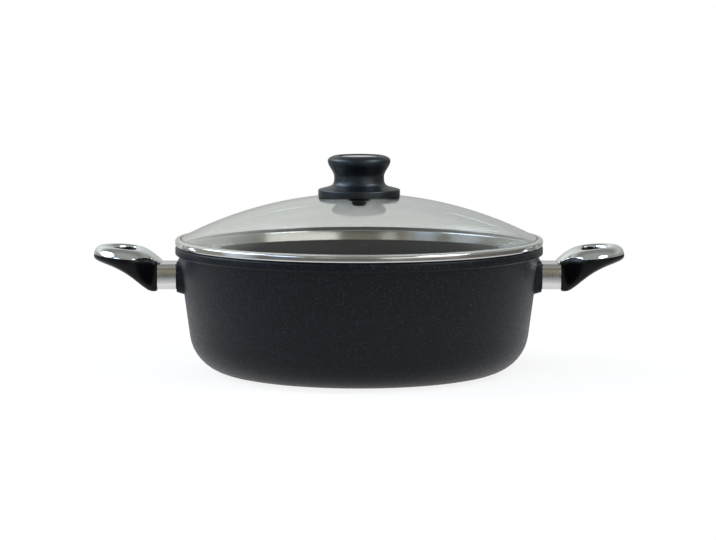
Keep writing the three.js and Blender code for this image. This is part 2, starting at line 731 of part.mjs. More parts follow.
function knob() {
  const hole = SCREW_SHANK / 2 + GAP;
  const pad = PAD_DIAMETER / 2;
  const padSag = glassOuter(0) - glassOuter(pad);
  const lowerTop = -GLASS - GAP - padSag;
  const washerTop = lowerTop - PAD_THICKNESS - GAP + padSag;
  const insertTop = bossBottom + INSERT_LENGTH;
  const upperPad = ringPath(hole, pad, padBottom, padBottom + PAD_THICKNESS);
  const lowerPad = ringPath(hole, pad, washerTop + GAP, lowerTop);
  const washer = ringPath(hole, KNOB_WASHER / 2, washerTop - KNOB_WASHER_THICKNESS, washerTop);
  const insert = ringPath(hole, INSERT_DIAMETER / 2, bossBottom, insertTop);
  const group = new THREE.Group();
  group.add(piece('lid_knob', knobBody(), 'bakelite'));
  group.add(piece('knob_disc', knobDisc(), 'chrome'));
  group.add(piece('knob_insert', turned(insert, SMALL_SEGMENTS), 'brass'));
  group.add(piece('knob_seal_upper', turned(upperPad, SMALL_SEGMENTS), 'silicone'));
  group.add(piece('knob_seal_lower', turned(lowerPad, SMALL_SEGMENTS), 'silicone'));
  group.add(piece('knob_washer', turned(washer, SMALL_SEGMENTS), 'blackSteel'));
  group.add(piece('knob_screw', knobScrew(), 'blackSteel'));
  group.position.z = domeTop;
  return group;
}

function lid() {
  const group = new THREE.Group();
  group.add(piece('lid_glass', lidGlass(), 'glass'));
  group.add(piece('lid_band', lidBand(), 'steel'));
  group.add(piece('lid_band_seal', lidSeal(), 'silicone'));
  group.add(knob());
  group.position.z = POT_HEIGHT + GAP;
  return group;
}

const SIDES = { right: 0, left: Math.PI };

const roastingPot = new THREE.Group();
roastingPot.add(piece('pot_body', potBody(Object.values(SIDES)), 'coating'));
for (const [side, turn] of Object.entries(SIDES)) {
  roastingPot.add(handle(side, turn));
}
roastingPot.add(lid());

export default roastingPot;
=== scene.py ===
# Roasting pot: detailed surfaces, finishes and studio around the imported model.
# Shapes are drawn in millimetres and scaled to the model's metres. +Z is up, the origin is the middle
# of the pot's underside, and the handles lie along X.

import math

import bmesh
import bpy
import numpy as np
from mathutils import Matrix, Vector


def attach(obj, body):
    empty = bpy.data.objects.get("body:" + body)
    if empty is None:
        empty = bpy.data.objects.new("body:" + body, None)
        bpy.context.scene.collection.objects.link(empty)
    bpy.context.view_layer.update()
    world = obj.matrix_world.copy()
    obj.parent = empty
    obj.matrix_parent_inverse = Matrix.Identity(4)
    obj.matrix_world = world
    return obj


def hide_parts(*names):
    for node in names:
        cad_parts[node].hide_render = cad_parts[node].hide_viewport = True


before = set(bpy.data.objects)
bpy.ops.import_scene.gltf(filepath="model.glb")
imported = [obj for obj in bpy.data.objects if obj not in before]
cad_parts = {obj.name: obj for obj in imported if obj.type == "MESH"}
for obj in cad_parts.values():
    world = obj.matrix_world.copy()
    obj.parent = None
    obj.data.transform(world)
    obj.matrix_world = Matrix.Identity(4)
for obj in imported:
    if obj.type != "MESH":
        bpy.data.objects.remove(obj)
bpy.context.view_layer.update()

scene = bpy.context.scene
scene.view_settings.view_transform = "Standard"

MM = 0.001

# Clearance between neighbouring pieces
GAP = 0.3

# Pot casting
RIM_BORE = 280
POT_HEIGHT = 100
WALL = 4.1
BASE = 8
DRAFT = math.radians(7.5)
OUTER_CORNER = 33
INNER_CORNER = 27
RIM_BAND = 6.4
RIM_OVERHANG = 2.7
RIM_ROUND = 1.8
RIM_FILLET = 1.2
RIM_EDGE = 0.8
MOUTH_ROUND = 1

# Cast lugs
HANDLE_DROP = 24
LUG_SETBACK = 1.7
LUG_WIDTH = 41
LUG_HEIGHT = 24.3
LUG_ROUND = 5
LUG_EDGE = 0.6
LUG_DRAFT = math.radians(15)
LUG_FILLET = 0.8
LUG_SPIGOT = 7
LUG_ROOT = 2

# Steel ferrule
FERRULE_LENGTH = 15.2
FERRULE_WIDTH = 38
FERRULE_HEIGHT = 20.3
FERRULE_WALL = 1.2
FERRULE_ROUND = 5
FERRULE_BULGE = 0.8
FERRULE_EDGE = 0.35

# Grip, from above
GRIP_LENGTH = 50.8
GRIP_WIDTH = 66
GRIP_SHOULDER = 22
NECK_WIDTH = 39
TIP_FULLNESS = 17
SHOULDER_FULLNESS = 15
HOLE_LENGTH = 19
HOLE_WIDTH = 34
HOLE_CORNER = 5
HOLE_WEB = 12

# Grip, from the side: heights above the handle screw, runs along it and its section's fullness
CREST_SWELL = 31
CREST_REACH = 27.6
CREST_RUN = 22.5
CREST_CROWN = 8
TIP_CREST = 22.7
TIP_EDGE = 16
TIP_BELLY = 12.2
NECK_EDGE = 1.8
NECK_BELLY = -11.5
BELLY_SAG = 2.5
BELLY_LIFT = 20.2
BELLY_RUN = 13.5
SECTION_FULLNESS = 2.3

# Trim cap
TRIM_WALL = 1.5
TRIM_EDGE = 0.35
NECK_SEAM = 12
SEAM_HUMP = 17.6
CUSP_RUN = 16.5
CUSP_SEAM = 14.8
SEAM_TILT = math.radians(3.8)
LIP_HEIGHT = 20.4
LIP_WIDTH = 1.5
TONGUE_LAP = 3
TONGUE_WIDTH = 27
TONGUE_EDGE = 1.8

# Handle screw and washer
SCREW_SHANK = 5
SCREW_HEAD = 8.5
SCREW_HEAD_HEIGHT = 3.4
SCREW_SEAT = 7.5
THREAD_DEPTH = 5
WASHER_DIAMETER = 9.4
WASHER_THICKNESS = 1.2

# Lid
GLASS = 3.5
GLASS_EDGE = 2
DOME_RADIUS = 306
GLASS_BORE = 9
STEEL = 0.7
BAND_LIP = 4
BAND_ROUND = 1.4
LIP_FALL = 0.7
SKIRT_DEPTH = 7.9
SKIRT_CLEARANCE = 1.1
SEAL_WIDTH = 2.2

# Knob, with heights above the top of the glass
KNOB_HEIGHT = 30.9
KNOB_FLANGE = 65
KNOB_FLANGE_TOP = 4
KNOB_FLANGE_ROUND = 1.1
KNOB_CONE = 49
KNOB_CONE_TOP = 6.1
KNOB_WAIST = 39.6
KNOB_WAIST_HEIGHT = 14.1
KNOB_HEAD = 49.8
KNOB_HEAD_HEIGHT = 26.6
KNOB_SHOULDER = 29.6
KNOB_LIP = 2.6
LIP_DISH = 0.35
KNOB_FOOT = 4
KNOB_HOLLOW = 1.6
KNOB_BOSS = 24
DISC_DIAMETER = 32
DISC_THICKNESS = 1.4
DISC_CROWN = 0.5
DISC_EDGE = 0.3

# Knob fixing
INSERT_DIAMETER = 10
INSERT_LENGTH = 14
PAD_THICKNESS = 1
PAD_DIAMETER = 18
KNOB_WASHER = 17
KNOB_WASHER_THICKNESS = 1.2
KNOB_SCREW_HEAD = 11.6
KNOB_SCREW_HEAD_HEIGHT = 3.6
KNOB_SCREW_REACH = 11
SMALL_EDGE = 0.2
RECESS_DEPTH = 1.6
RECESS_WIDTH = 1.2
RECESS_LENGTH = 5.8

# Facets, steps of a search, the angle of a sharp edge, and the welding distance in metres
TURN_SEGMENTS = 256
KNOB_SEGMENTS = 160
SMALL_SEGMENTS = 48
ARC_STEP = math.radians(9)
CURVE_STEPS = 24
CORNER_STEPS = 8
EDGE_STEPS = 3
FIT_ROUNDS = 8
FLAT_STEPS = 14
STATIONS = 168
TRIM_ROWS = 30
SKIN_ROWS = 44
END_ROWS = 16
SEARCH_STEPS = 900
SHARP = math.radians(32)
WELD = 1e-7

rim_radius = RIM_BORE / 2 + WALL - RIM_BAND * math.tan(DRAFT) + RIM_OVERHANG
lug_face = rim_radius - LUG_SETBACK
handle_height = POT_HEIGHT - HANDLE_DROP
ferrule_top = FERRULE_HEIGHT / 2 + GAP
grip_start = FERRULE_LENGTH + 2 * GAP
grip_tip = grip_start + GRIP_LENGTH
lid_height = POT_HEIGHT + GAP
glass_radius = rim_radius - STEEL - SEAL_WIDTH - 2 * GAP
dome_inner = DOME_RADIUS - GLASS
dome_centre = STEEL + GAP - math.sqrt(dome_inner**2 - glass_radius**2)
dome_top = dome_centre + DOME_RADIUS
knob_height = lid_height + dome_top
boss_bottom = 2 * GAP + PAD_THICKNESS
disc_seat = KNOB_HEIGHT - LIP_DISH - DISC_THICKNESS - GAP


# Curves and meshes

def bezier(*controls):
    """Points along a Bezier curve of any degree, both ends included."""
    share = np.linspace(0, 1, CURVE_STEPS + 1)[:, None]
    points = [np.array(control, float) for control in controls]
    while len(points) > 1:
        points = [a + (b - a) * share for a, b in zip(points, points[1:])]
    return points[0]


def filleted(*corners, closed=False):
    """A path through (x, y, radius) corners, each rounded to its radius."""
    path = []
    count = len(corners)
    for i, (x, y, radius) in enumerate(corners):
        here = np.array((x, y), float)
        at_end = not closed and i in (0, count - 1)
        if at_end or radius == 0:
            path.append(here)
            continue
        before = np.array(corners[i - 1][:2], float) - here
        after = np.array(corners[(i + 1) % count][:2], float) - here
        before /= np.linalg.norm(before)
        after /= np.linalg.norm(after)
        half = math.acos(np.clip(before @ after, -1, 1)) / 2
        middle = (before + after) / np.linalg.norm(before + after)
        centre = here + middle * radius / math.sin(half)
        start = here + before * radius / math.tan(half) - centre
        end = here + after * radius / math.tan(half) - centre
        turn = math.atan2(start[0] * end[1] - start[1] * end[0], start @ end)
        first = math.atan2(start[1], start[0])
        steps = max(2, math.ceil(abs(turn) / ARC_STEP))
        for angle in np.linspace(first, first + turn, steps + 1):
            path.append(centre + radius * np.array((math.cos(angle), math.sin(angle))))
    return np.array(path)


def finish_mesh(mesh):
    """Welds a new mesh, turns its faces outwards and shades it smooth up to sharp edges."""
    shell = bmesh.new()
    shell.from_mesh(mesh)
    bmesh.ops.remove_doubles(shell, verts=shell.verts, dist=WELD)
    bmesh.ops.recalc_face_normals(shell, faces=shell.faces)
    shell.to_mesh(mesh)
    shell.free()
    mesh.shade_smooth()
    mesh.set_sharp_from_angle(angle=SHARP)


def skin(name, rings, loop=False, capped=False):
    """A new object over closed rings of equal counts, given in millimetres."""
    rows, count = rings.shape[:2]
    faces = []
    for i in range(rows if loop else rows - 1):
        here = i * count
        there = (i + 1) % rows * count
        for j in range(count):
            k = (j + 1) % count
            faces.append((here + j, there + j, there + k, here + k))
    if capped:
        faces.append(tuple(range(count)))
        faces.append(tuple(range((rows - 1) * count, rows * count)))
    mesh = bpy.data.meshes.new(name)
    mesh.from_pydata((rings.reshape(-1, 3) * MM).tolist(), [], faces)
    finish_mesh(mesh)
    made = bpy.data.objects.new(name, mesh)
    scene.collection.objects.link(made)
    return made


def turned(name, path, segments, lift=0, closed=False):
    """A (radius, height) path turned about Z. A closed path makes a ring."""
    path = np.asarray(path)
    angles = np.linspace(0, 2 * math.pi, segments, endpoint=False)
    radius = path[:, :1]
    rings = np.stack(
        [
            radius * np.cos(angles),
            radius * np.sin(angles),
            np.repeat(path[:, 1:] + lift, segments, axis=1),
        ],
        axis=-1,
    )
    return skin(name, rings, loop=closed)


def combine(base, operation, *tools):
    """Applies solid tools to a piece and deletes them."""
    for tool in tools:
        cut = base.modifiers.new(tool.name, "BOOLEAN")
        cut.operation = operation
        cut.solver = "EXACT"
        cut.object = tool
    shaped = base.evaluated_get(bpy.context.evaluated_depsgraph_get())
    mesh = bpy.data.meshes.new_from_object(shaped)
    base.modifiers.clear()
    base.data = mesh
    for tool in tools:
        bpy.data.objects.remove(tool)
    mesh.shade_smooth()
    mesh.set_sharp_from_angle(angle=SHARP)


def soften(made, width):
    """Rounds the sharp edges of a piece."""
    bevel = made.modifiers.new("edges", "BEVEL")
    bevel.width = width * MM
    bevel.segments = EDGE_STEPS
    bevel.limit_method = "ANGLE"
    bevel.angle_limit = SHARP
    bevel.harden_normals = True


def turn_to_handle(made, turn):
    """Moves a piece drawn along its screw to a handle's place, in its mesh."""
    place = Matrix.Rotation(turn, 4, "Z")
    made.data.transform(place @ Matrix.Translation((lug_face * MM, 0, handle_height * MM)))


def along_x(made):
    """Turns a piece drawn along Z so that it lies along X."""
    made.data.transform(Matrix.Rotation(math.pi / 2, 4, "Y"))


def fit(made, body, node, material):
    """Hangs a piece on its body in place of its solid."""
    made.data.materials.clear()
    made.data.materials.append(material)
    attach(made, body)
    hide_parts(node)


def rounded_rectangle(width, height, round_):
    """Points and outward normals round a rounded rectangle."""
    points = []
    normals = []
    corners = [(1, 1), (-1, 1), (-1, -1), (1, -1)]
    for index, (side, level) in enumerate(corners):
        middle = np.array((side * (width / 2 - round_), level * (height / 2 - round_)))
        first = index * math.pi / 2
        for angle in np.linspace(first, first + math.pi / 2, CORNER_STEPS + 1):
            normal = np.array((math.cos(angle), math.sin(angle)))
            points.append(middle + round_ * normal)
            normals.append(normal)
        next_side, next_level = corners[(index + 1) % len(corners)]
        target = np.array((next_side * (width / 2 - round_), next_level * (height / 2 - round_)))
        target = target + round_ * normals[-1]
        start = points[-1]
        for share in np.linspace(0, 1, FLAT_STEPS + 1)[1:-1]:
            points.append(start + (target - start) * share)
            normals.append(normals[-1])
    return np.array(points), np.array(normals)


def barrelled(width, height, round_):
    """Points and outward normals round a rounded rectangle whose upright sides bulge."""
    points, _ = rounded_rectangle(width, height, round_)
    drawn_in = FERRULE_BULGE / (FERRULE_WIDTH / 2) * (points[:, 1] / (FERRULE_HEIGHT / 2)) ** 2
    points[:, 0] *= 1 - drawn_in
    along = np.roll(points, -1, axis=0) - np.roll(points, 1, axis=0)
    normals = np.column_stack([along[:, 1], -along[:, 0]])
    return points, normals / np.linalg.norm(normals, axis=1)[:, None]


# Pot casting

def wall_outer(height):
    """The radius of the wall's outer face at a height."""
    return RIM_BORE / 2 + WALL - (POT_HEIGHT - height) * math.tan(DRAFT)


def wall_inner(height):
    """The radius of the wall's inner face at a height."""
    return RIM_BORE / 2 - (POT_HEIGHT - height) * math.tan(DRAFT)


def vessel():
    """The pot's base, wall and rim."""
    band_foot = POT_HEIGHT - RIM_BAND
    path = filleted(
        (0, 0, 0),
        (wall_outer(0), 0, OUTER_CORNER),
        (wall_outer(band_foot), band_foot, RIM_FILLET),
        (rim_radius, band_foot, RIM_EDGE),
        (rim_radius, POT_HEIGHT, RIM_ROUND),
        (wall_inner(POT_HEIGHT), POT_HEIGHT, MOUTH_ROUND),
        (wall_inner(BASE), BASE, INNER_CORNER),
        (0, BASE, 0),
    )
    return turned("pot_casting", path, TURN_SEGMENTS)


def lug(turn):
    """A boss with a rounded face that spreads and flares into the pot's wall, with its spigot."""
    section, normals = rounded_rectangle(LUG_WIDTH, LUG_HEIGHT, LUG_ROUND)
    spread = math.tan(LUG_DRAFT)
    depth = np.full(len(section), RIM_OVERHANG)
    for _ in range(FIT_ROUNDS):
        foot = section + normals * (depth * spread + LUG_FILLET)[:, None]
        reach = wall_outer(handle_height + foot[:, 1])
        depth = lug_face - np.sqrt(reach**2 - foot[:, 0] ** 2)
    slack = 2 * (FERRULE_WALL + GAP)
    spigot, _ = barrelled(
        FERRULE_WIDTH - slack, FERRULE_HEIGHT - slack, FERRULE_ROUND - FERRULE_WALL - GAP
    )
    rings = [(spigot, np.full(len(spigot), float(LUG_SPIGOT)))]
    rings.append((spigot, np.zeros(len(spigot))))
    for angle in np.linspace(math.pi / 2, 0, CORNER_STEPS + 1):
        inset = LUG_EDGE * (1 - math.cos(angle))
        x = np.full(len(section), -LUG_EDGE * (1 - math.sin(angle)))
        rings.append((section - normals * inset, x))
    for angle in np.linspace(0, math.pi / 2, CORNER_STEPS + 1):
        left = LUG_FILLET * (1 - math.sin(angle))
        flare = LUG_FILLET * (1 - math.cos(angle))
        down = depth - left
        rings.append((section + normals * (down * spread + flare)[:, None], -down))
    foot, x = rings[-1]
    rings.append((foot, x - LUG_ROOT))
    solid = np.array([np.column_stack([x, ring]) for ring, x in rings])
    made = skin("lug", solid, capped=True)
    turn_to_handle(made, turn)
    return made


# Handles

def ferrule(side):
    """A steel sleeve with rounded edges."""
    section, normals = barrelled(FERRULE_WIDTH, FERRULE_HEIGHT, FERRULE_ROUND)
    end = GAP + FERRULE_LENGTH
    path = filleted(
        (GAP, 0, FERRULE_EDGE),
        (end, 0, FERRULE_EDGE),
        (end, -FERRULE_WALL, FERRULE_EDGE),
        (GAP, -FERRULE_WALL, FERRULE_EDGE),
        closed=True,
    )
    rings = np.array(
        [np.column_stack([np.full(len(section), x), section + normals * out]) for x, out in path]
    )
    return skin(side + "_ferrule_sleeve", rings, loop=True)


def spaced(outline):
    """Stations at equal lengths along a closed outline."""
    outline = np.asarray(outline)
    steps = np.linalg.norm(np.diff(outline, axis=0), axis=1)
    length = np.concatenate([[0], np.cumsum(steps)])
    places = np.linspace(0, length[-1], STATIONS, endpoint=False)
    return np.column_stack([np.interp(places, length, outline[:, axis]) for axis in (0, 1)])


def mirrored(half):
    """Closes the half outline on the +Y side with its mirror image."""
    return np.concatenate([half, half[::-1] * (1, -1)])


def grip_outline():
    """The grip's outer outline from above."""
    half = GRIP_WIDTH / 2
    neck = NECK_WIDTH / 2
    widest = grip_start + GRIP_SHOULDER
    flare = GRIP_SHOULDER / 2
    neck_end = grip_start - flare
    bow = bezier(
        (grip_tip, 0),
        (grip_tip, TIP_FULLNESS),
        (widest + SHOULDER_FULLNESS, half),
        (widest, half),
    )
    shoulder = bezier(
        (widest, half),
        (widest - flare, half),
        (grip_start + flare / 2, neck),
        (grip_start - GAP, neck),
    )
    return mirrored(np.concatenate([bow, shoulder, [(neck_end, neck)]]))


def hole_outline():
    """The outline of the finger opening from above."""
    far = grip_tip - HOLE_WEB
    near = far - HOLE_LENGTH
    half = HOLE_WIDTH / 2
    belly = (near + far) / 2
    bow = bezier((far, 0), (far, half / 2), (belly, half), (near + HOLE_CORNER, half))
    corner = bezier((near + HOLE_CORNER, half), (near, half), (near, half - HOLE_CORNER))
    return mirrored(np.concatenate([bow, corner]))


def on_curve(curve, x):
    """The height of a curve at x."""
    return np.interp(x, curve[:, 0], curve[:, 1])


lap_end = grip_start - TONGUE_LAP
crest_curve = bezier(
    (lap_end, ferrule_top + TONGUE_EDGE),
    (lap_end + CREST_RUN, CREST_SWELL),
    (grip_tip - CREST_RUN, CREST_REACH),
    (grip_tip, TIP_CREST),
)
belly_curve = bezier(
    (grip_start, NECK_BELLY),
    (grip_start + BELLY_RUN, NECK_BELLY - BELLY_SAG),
    (grip_start + BELLY_RUN, NECK_BELLY + BELLY_LIFT),
    (grip_tip, TIP_BELLY),
)
equator_curve = bezier(
    (grip_start - GRIP_SHOULDER / 4, NECK_EDGE),
    (grip_start + GRIP_SHOULDER / 2, TIP_EDGE),
    (grip_tip, TIP_EDGE),
)
cusp = grip_start + CUSP_RUN
seam_curve = np.concatenate(
    [
        bezier((grip_start, NECK_SEAM), (grip_start + CUSP_RUN / 2, SEAM_HUMP), (cusp, CUSP_SEAM)),
        [(grip_tip, CUSP_SEAM + (grip_tip - cusp) * math.tan(SEAM_TILT))],
    ]
)
outer_stations = spaced(grip_outline())
inner_stations = spaced(hole_outline())


def squared(value):
    """A sine or cosine drawn out towards a squarer section."""
    return np.sign(value) * np.abs(value) ** (2 / SECTION_FULLNESS)


def grip_skin(station, angles, inset):
    """Points of the grip's skin at a station: angle 0 is outside, a quarter turn is on top."""
    across = outer_stations[station] - inner_stations[station]
    half = np.linalg.norm(across) / 2
    middle = (outer_stations[station] + inner_stations[station]) / 2
    reach = (half - inset) / half / 2 * squared(np.cos(angles))
    place = middle + across * reach[:, None]
    rise = squared(np.sin(angles))
    wide = on_curve(equator_curve, place[:, 0])
    crown = CREST_CROWN * (place[:, 1] / (GRIP_WIDTH / 2)) ** 2
    top = on_curve(crest_curve, place[:, 0]) - crown - inset - wide
    bottom = wide - on_curve(belly_curve, place[:, 0]) - inset
    height = wide + rise * np.where(rise > 0, top, bottom)
    return np.column_stack([place, height])


def first_outside(angles, inside):
    """The angle at which a row of angles leaves the places marked as inside."""
    if inside.all():
        return angles[-1]
    return angles[max(np.argmin(inside) - 1, 0)]


def trim_span(station, clear):
    """The angles of the trim's outer and inner edge at a station."""
    outward = np.linspace(math.pi / 2, 0, SEARCH_STEPS)
    x, y, z = grip_skin(station, outward, 0).T
    on_lap = (x < grip_start) & (clear > 0)
    lap = np.clip(grip_start - x, 0, TONGUE_LAP)
    side = TONGUE_WIDTH / 2 - TONGUE_LAP + np.sqrt(TONGUE_LAP**2 - lap**2)
    on_tongue = (z > ferrule_top) & (x > lap_end) & (np.abs(y) < side)
    above = np.where(on_lap, on_tongue, z > on_curve(seam_curve, x) + clear)
    inward = np.linspace(math.pi / 2, math.pi, SEARCH_STEPS)
    point = grip_skin(station, inward, 0)
    from_hole = np.linalg.norm(point[:, :2] - inner_stations[station], axis=1)
    clear_of_sleeve = (from_hole > LIP_WIDTH + clear) | (point[:, 2] > LIP_HEIGHT + clear)
    return first_outside(outward, above), first_outside(inward, clear_of_sleeve)


def trim(side):
    """A bright shell over the grip, running out on to the ferrule."""
    rings = []
    for station in range(STATIONS):
        outer_end, inner_end = trim_span(station, GAP)
        angles = np.linspace(outer_end, inner_end, TRIM_ROWS)
        outside = grip_skin(station, angles, 0)
        inside = grip_skin(station, angles[::-1], TRIM_WALL)
        inside[:, 0] = np.maximum(inside[:, 0], lap_end)
        on_lap = inside[:, 0] < grip_start
        inside[on_lap, 2] = ferrule_top
        rings.append(np.concatenate([outside, inside]))
    made = skin(side + "_trim_cap", np.array(rings), loop=True)
    soften(made, TRIM_EDGE)
    return made


def neck_angle(station):
    """The angle at which the underside of a station meets the end of the ferrule."""
    bottom = 1.5 * math.pi
    outside = 2 * math.pi
    angles = np.linspace(bottom, outside, SEARCH_STEPS)
    return first_outside(angles, grip_skin(station, angles, 0)[:, 0] >= grip_start)


def grip(side):
    """The black moulding: full below the seam, set back under the trim, flat against the ferrule."""
    rings = []
    for station in range(STATIONS):
        outer_end, inner_end = trim_span(station, 0)
        turn = neck_angle(station)
        below = np.linspace(inner_end, turn, SKIN_ROWS)
        end = np.linspace(turn, 2 * math.pi + outer_end, END_ROWS)[1:]
        under = np.linspace(outer_end, inner_end, TRIM_ROWS)
        ring = np.concatenate(
            [
                grip_skin(station, below, 0),
                grip_skin(station, end, 0),
                grip_skin(station, under, TRIM_WALL + GAP),
            ]
        )
        ring[:, 0] = np.maximum(ring[:, 0], grip_start)
        rings.append(ring)
    made = skin(side + "_grip_moulding", np.array(rings), loop=True)
    pocket_radius = max(WASHER_DIAMETER, SCREW_HEAD) / 2 + GAP
    seat = grip_start + SCREW_SEAT
    mouth = grip_tip - HOLE_WEB
    path = [(0, seat), (pocket_radius, seat), (pocket_radius, mouth), (0, mouth)]
    pocket = turned("pocket", path, SMALL_SEGMENTS)
    along_x(pocket)
    combine(made, "DIFFERENCE", pocket)
    return made


def recessed(head, face, towards):
    """Cuts a cross recess into a screw's head, drawn along Z."""
    for turn in (0, math.pi / 2):
        half = np.array((RECESS_LENGTH / 2, RECESS_WIDTH / 2))
        corners = np.array([(1, 1), (-1, 1), (-1, -1), (1, -1)]) * half
        levels = (face - towards * RECESS_DEPTH, face + towards * RECESS_DEPTH)
        rings = np.array([np.column_stack([corners, np.full(len(corners), level)]) for level in levels])
        slot = skin("recess", rings, capped=True)
        slot.data.transform(Matrix.Rotation(turn, 4, "Z"))
        combine(head, "DIFFERENCE", slot)


def handle_screw(side):
    """A round-headed screw through grip and ferrule into the lug."""
    under = grip_start + SCREW_SEAT + WASHER_THICKNESS + 2 * GAP
    head = SCREW_HEAD / 2
    top = under + SCREW_HEAD_HEIGHT
    shank = filleted(
        (0, GAP - THREAD_DEPTH, 0),
        (SCREW_SHANK / 2, GAP - THREAD_DEPTH, SMALL_EDGE),
        (SCREW_SHANK / 2, under, 0),
        (head, under, SMALL_EDGE),
        (head, under + SCREW_HEAD_HEIGHT / 2, 0),
    )
    dome = bezier((head, under + SCREW_HEAD_HEIGHT / 2), (head, top), (0, top))
    made = turned(side + "_grip_screw", np.concatenate([shank, dome[1:]]), SMALL_SEGMENTS)
    recessed(made, top, 1)
    along_x(made)
    return made


def flat_ring(name, inner, outer, low, high, lift=0):
    """A ring with slightly rounded edges."""
    path = filleted(
        (inner, low, SMALL_EDGE),
        (outer, low, SMALL_EDGE),
        (outer, high, SMALL_EDGE),
        (inner, high, SMALL_EDGE),
        closed=True,
    )
    return turned(name, path, SMALL_SEGMENTS, lift, closed=True)


def handle_washer(side):
    """The washer under a handle screw's head."""
    seat = grip_start + SCREW_SEAT + GAP
    hole = SCREW_SHANK / 2 + GAP
    rim = WASHER_DIAMETER / 2
    made = flat_ring(side + "_grip_washer", hole, rim, seat, seat + WASHER_THICKNESS)
    along_x(made)
    return made


# Lid, with heights above the face of the band that lies on the rim

def glass_outer(radius):
    """The height of the dome's outer face at a distance from the axis."""
    return dome_centre + math.sqrt(DOME_RADIUS**2 - radius**2)


def dome_arc(radius, outer, inner):
    """An arc about the dome's centre, between two distances from the axis."""
    angles = np.linspace(math.acos(outer / radius), math.acos(inner / radius), 2 * CURVE_STEPS)
    return np.column_stack([radius * np.cos(angles), dome_centre + radius * np.sin(angles)])


def glass_edge():
    """The ground upper edge of the glass, from its side round to the dome."""
    corner = glass_outer(glass_radius)
    start = glass_radius - GLASS_EDGE
    return bezier(
        (glass_radius, corner - GLASS_EDGE),
        (glass_radius, corner),
        (start, glass_outer(start)),
    )


def lip_height():
    """The underside of the band's lip at its free edge, just above the glass."""
    return on_curve(glass_edge()[::-1], rim_radius - BAND_LIP) + GAP


def lid_glass():
    """The domed glass, with a bore for the knob's screw."""
    bore = GLASS_BORE / 2
    outside = dome_arc(DOME_RADIUS, glass_radius - GLASS_EDGE, bore)
    inside = dome_arc(dome_inner, glass_radius, bore)[::-1]
    path = np.concatenate([outside, inside, glass_edge()[:-1]])
    return turned("lid_dome", path, TURN_SEGMENTS, lid_height, closed=True)


def lid_band():
    """The steel band: a lip over the glass, a flat on the rim and a skirt into the pot."""
    skirt_foot = wall_inner(POT_HEIGHT - SKIRT_DEPTH) - SKIRT_CLEARANCE
    skirt_top = wall_inner(POT_HEIGHT) - SKIRT_CLEARANCE
    lip = rim_radius - BAND_LIP
    lip_end = lip_height()
    top = lip_end + STEEL - LIP_FALL
    inner = rim_radius - STEEL
    bend = BAND_ROUND - STEEL
    edge = STEEL / 3
    path = filleted(
        (skirt_foot - STEEL, -SKIRT_DEPTH, edge),
        (skirt_foot, -SKIRT_DEPTH, edge),
        (skirt_top, 0, edge),
        (rim_radius, 0, BAND_ROUND),
        (rim_radius, top, BAND_ROUND),
        (lip, lip_end + STEEL, edge),
        (lip, lip_end, edge),
        (inner, top - STEEL, bend),
        (inner, STEEL, bend),
        (skirt_top - STEEL, STEEL, BAND_ROUND),
        closed=True,
    )
    return turned("lid_rim_band", path, TURN_SEGMENTS, lid_height, closed=True)


def lid_seal():
    """The rubber strip between the edge of the glass and the band."""
    inner = glass_radius + GAP
    outer = inner + SEAL_WIDTH
    low = STEEL + GAP
    high = lip_height() - LIP_FALL - GAP
    bevel = BAND_ROUND - STEEL
    path = filleted(
        (inner, low, SMALL_EDGE),
        (outer, low, bevel),
        (outer, high, bevel),
        (inner, high, SMALL_EDGE),
        closed=True,
    )
    return turned("lid_seal_strip", path, TURN_SEGMENTS, lid_height, closed=True)


# Knob, with heights above the top of the glass

def knob_body():
    """The knob: a wide flange, a waist and a rounded head with a pocket for its disc."""
    flange = KNOB_FLANGE / 2
    foot = flange - KNOB_FOOT
    head = KNOB_HEAD / 2
    waist = KNOB_WAIST / 2
    cone = KNOB_CONE / 2
    insert = INSERT_DIAMETER / 2 + GAP
    pocket = DISC_DIAMETER / 2 + GAP
    insert_top = boss_bottom + INSERT_LENGTH + GAP
    hollow = boss_bottom + KNOB_HOLLOW
    neck = (KNOB_WAIST_HEIGHT - KNOB_CONE_TOP) / 2
    flare = (KNOB_HEAD_HEIGHT - KNOB_WAIST_HEIGHT) / 3
    underside = filleted(
        (0, insert_top, 0),
        (insert, insert_top, 0),
        (insert, boss_bottom, SMALL_EDGE),
        (KNOB_BOSS / 2, boss_bottom, SMALL_EDGE),
        (KNOB_BOSS / 2, hollow, SMALL_EDGE),
        (foot, hollow, SMALL_EDGE),
        (foot, glass_outer(foot) - dome_top + GAP, SMALL_EDGE),
        (flange, glass_outer(flange) - dome_top + GAP, SMALL_EDGE),
        (flange, KNOB_FLANGE_TOP, KNOB_FLANGE_ROUND),
        (cone, KNOB_CONE_TOP, 0),
    )
    hollow_side = bezier(
        (cone, KNOB_CONE_TOP),
        (waist, KNOB_CONE_TOP + neck / 3),
        (waist, KNOB_WAIST_HEIGHT - neck),
        (waist, KNOB_WAIST_HEIGHT),
    )
    flaring_side = bezier(
        (waist, KNOB_WAIST_HEIGHT),
        (waist, KNOB_WAIST_HEIGHT + flare),
        (head, KNOB_HEAD_HEIGHT - flare),
        (head, KNOB_HEAD_HEIGHT),
    )
    rim = pocket + KNOB_LIP
    shoulder = bezier((head, KNOB_HEAD_HEIGHT), (head, KNOB_SHOULDER), (rim, KNOB_HEIGHT))
    top = filleted(
        tuple(shoulder[-2]) + (0,),
        (rim, KNOB_HEIGHT, DISC_EDGE),
        (pocket, KNOB_HEIGHT - LIP_DISH, SMALL_EDGE),
        (pocket, disc_seat, 0),
        (0, disc_seat, 0),
    )
    path = np.concatenate([underside, hollow_side[1:], flaring_side[1:], shoulder[1:-2], top])
    return turned("knob_moulding", path, KNOB_SEGMENTS, knob_height)


